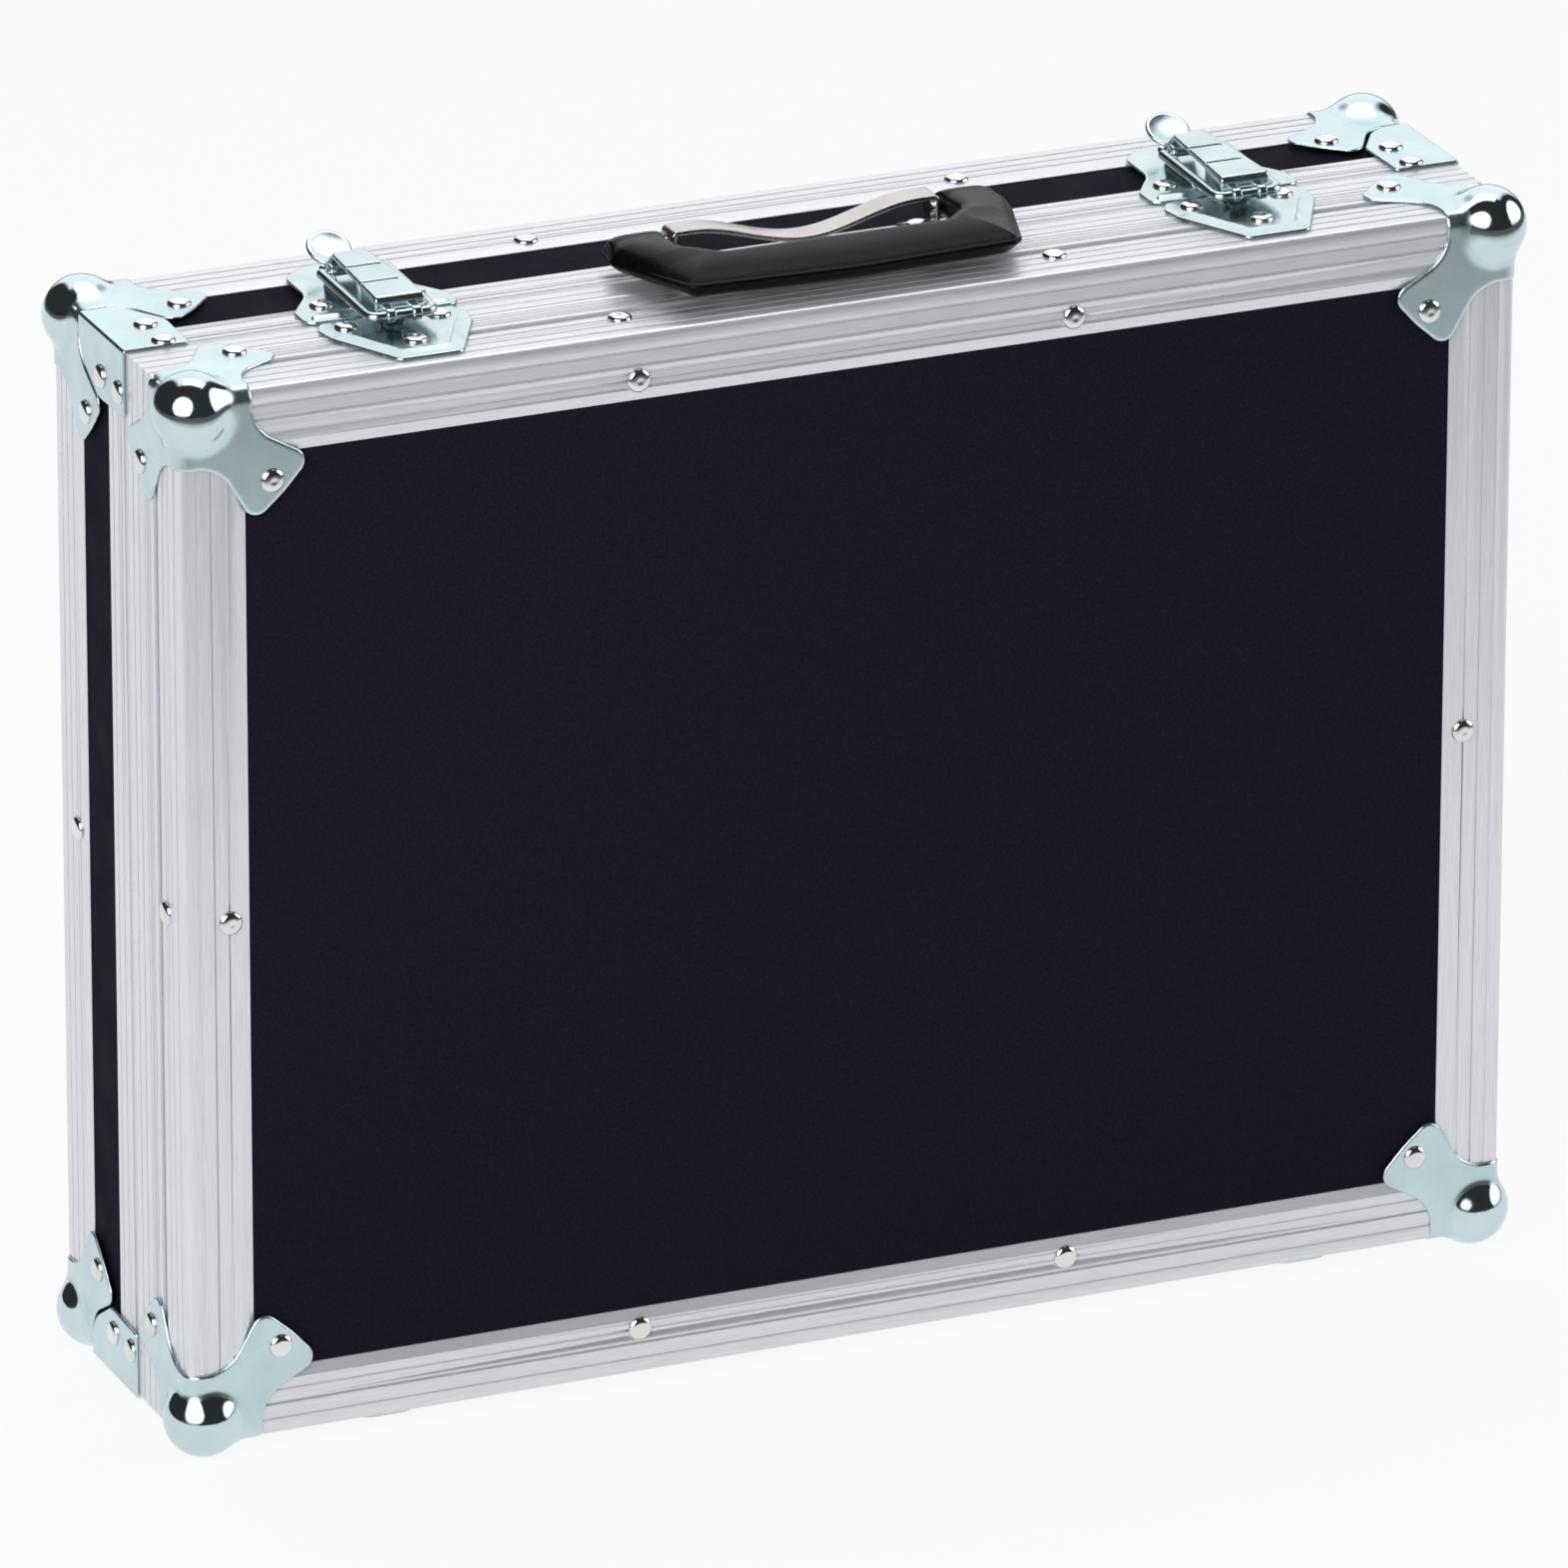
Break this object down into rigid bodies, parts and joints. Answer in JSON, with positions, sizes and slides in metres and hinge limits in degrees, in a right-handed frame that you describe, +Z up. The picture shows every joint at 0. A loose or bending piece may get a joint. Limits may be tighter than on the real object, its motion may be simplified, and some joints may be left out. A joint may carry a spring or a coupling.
{
  "type": "microphone case",
  "caption": "Hinged flight case in black laminate and riveted aluminium profiles, with ball corners, draw latches and a folding handle; holds microphones in foam.",
  "frame": {"origin": "centre of the footprint at the bottoms of the four lower ball corners", "axes": "+X to the right when facing the lid, +Y from the lid towards the rear panel, +Z up to the handle"},
  "size_m": [0.482, 0.124, 0.3849],
  "materials": {
    "laminate": "black laminated plywood, satin with fine texture",
    "profile": "extruded, fine lengthwise lines",
    "corner": "bright zinc plate",
    "nickel": "polished nickel plate",
    "grip": "moulded leather grain",
    "foam": "charcoal open-cell foam"
  },
  "bodies": {
    "base": {"rear_panel": "laminate", "base_top_wall": "laminate", "base_bottom_wall": "laminate", "base_left_wall": "laminate", "base_right_wall": "laminate", "base_closing_top": "profile", "base_closing_bottom": "profile", "base_closing_left": "profile", "base_closing_right": "profile", "rear_edge_top": "profile", "rear_edge_bottom": "profile", "rear_edge_left": "profile", "rear_edge_right": "profile", "rear_corner_top_left": "corner", "rear_corner_top_right": "corner", "rear_corner_bottom_left": "corner", "rear_corner_bottom_right": "corner", "corner_brace_top_left": "corner", "corner_brace_top_right": "corner", "corner_brace_bottom_left": "corner", "corner_brace_bottom_right": "corner", "base_rivets": "nickel", "latch_plate_left": "nickel", "latch_plate_right": "nickel", "handle_strap": "nickel", "handle_pins": "nickel", "hinge_base_leaves": "nickel", "hinge_pins": "nickel", "foam_floor": "foam", "foam_insert": "foam"},
    "lid": {"lid_panel": "laminate", "lid_top_wall": "laminate", "lid_bottom_wall": "laminate", "lid_left_wall": "laminate", "lid_right_wall": "laminate", "lid_closing_top": "profile", "lid_closing_bottom": "profile", "lid_closing_left": "profile", "lid_closing_right": "profile", "front_edge_top": "profile", "front_edge_bottom": "profile", "front_edge_left": "profile", "front_edge_right": "profile", "front_corner_top_left": "corner", "front_corner_top_right": "corner", "front_corner_bottom_left": "corner", "front_corner_bottom_right": "corner", "lid_rivets": "nickel", "latch_strike_left": "nickel", "latch_strike_right": "nickel", "hinge_lid_leaves": "nickel", "lid_foam": "foam"},
    "bail_left": {"latch_bail_left": "nickel"},
    "bail_right": {"latch_bail_right": "nickel"},
    "lever_left": {"latch_lever_left": "nickel"},
    "lever_right": {"latch_lever_right": "nickel"},
    "grip": {"handle_grip": "grip"}
  },
  "joints": [
    {"name": "lid_hinge", "type": "hinge", "parent": "base", "child": "lid", "pos_m": [0, -0.01, 0.0033], "axis": [1, 0, 0], "range_deg": [0, 170]},
    {"name": "bail_left_swing", "type": "hinge", "parent": "base", "child": "bail_left", "pos_m": [-0.146, 0.017, 0.3772], "axis": [-1, 0, 0], "range_deg": [0, 60]},
    {"name": "lever_left_turn", "type": "hinge", "parent": "bail_left", "child": "lever_left", "pos_m": [-0.146, -0.026, 0.3765], "axis": [1, 0, 0], "range_deg": [0, 120]},
    {"name": "bail_right_swing", "type": "hinge", "parent": "base", "child": "bail_right", "pos_m": [0.152, 0.017, 0.3772], "axis": [-1, 0, 0], "range_deg": [0, 60]},
    {"name": "lever_right_turn", "type": "hinge", "parent": "bail_right", "child": "lever_right", "pos_m": [0.152, -0.026, 0.3765], "axis": [1, 0, 0], "range_deg": [0, 120]},
    {"name": "grip_swing", "type": "hinge", "parent": "base", "child": "grip", "pos_m": [0.004, 0, 0.3776], "axis": [-1, 0, 0], "range_deg": [0, 175]}
  ],
  "couplings": [
    {"joint": "lever_left_turn", "follows": "bail_left_swing", "ratio": 2},
    {"joint": "lever_right_turn", "follows": "bail_right_swing", "ratio": 2}
  ]
}
